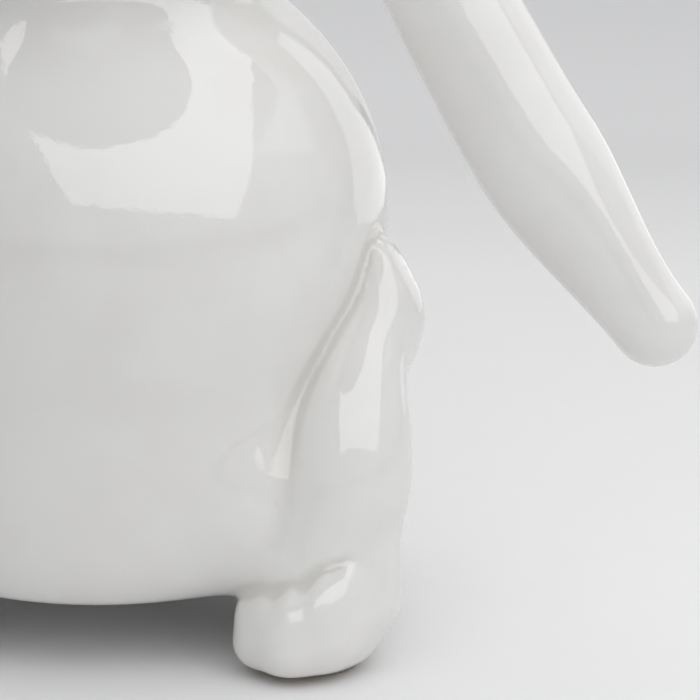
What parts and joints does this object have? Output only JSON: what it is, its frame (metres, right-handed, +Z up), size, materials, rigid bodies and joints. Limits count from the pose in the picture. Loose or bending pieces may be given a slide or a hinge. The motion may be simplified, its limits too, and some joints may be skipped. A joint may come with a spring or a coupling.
{
  "type": "hare figurine",
  "caption": "Glazed white stoneware hare figurine sitting upright, with a round belly, folded forelegs, long hanging ears and large hind feet, for display on a shelf or table.",
  "frame": {"origin": "on the floor under the middle of the figurine's width and depth, at the bottom of the felt pads", "axes": "+Z up, the hare faces -Y, +X is the hare's left side"},
  "size_m": [0.3636, 0.191, 0.32],
  "materials": {
    "glaze": "glossy white glaze over stoneware",
    "felt": "pressed grey felt"
  },
  "bodies": {
    "root": {"body_shell": "glaze", "head_shell": "glaze", "ear_left": "glaze", "ear_right": "glaze", "foreleg_left": "glaze", "foreleg_right": "glaze", "hind_leg_left": "glaze", "hind_leg_right": "glaze", "tail": "glaze", "foot_pad_left": "felt", "foot_pad_right": "felt", "rump_pad": "felt"}
  },
  "joints": []
}
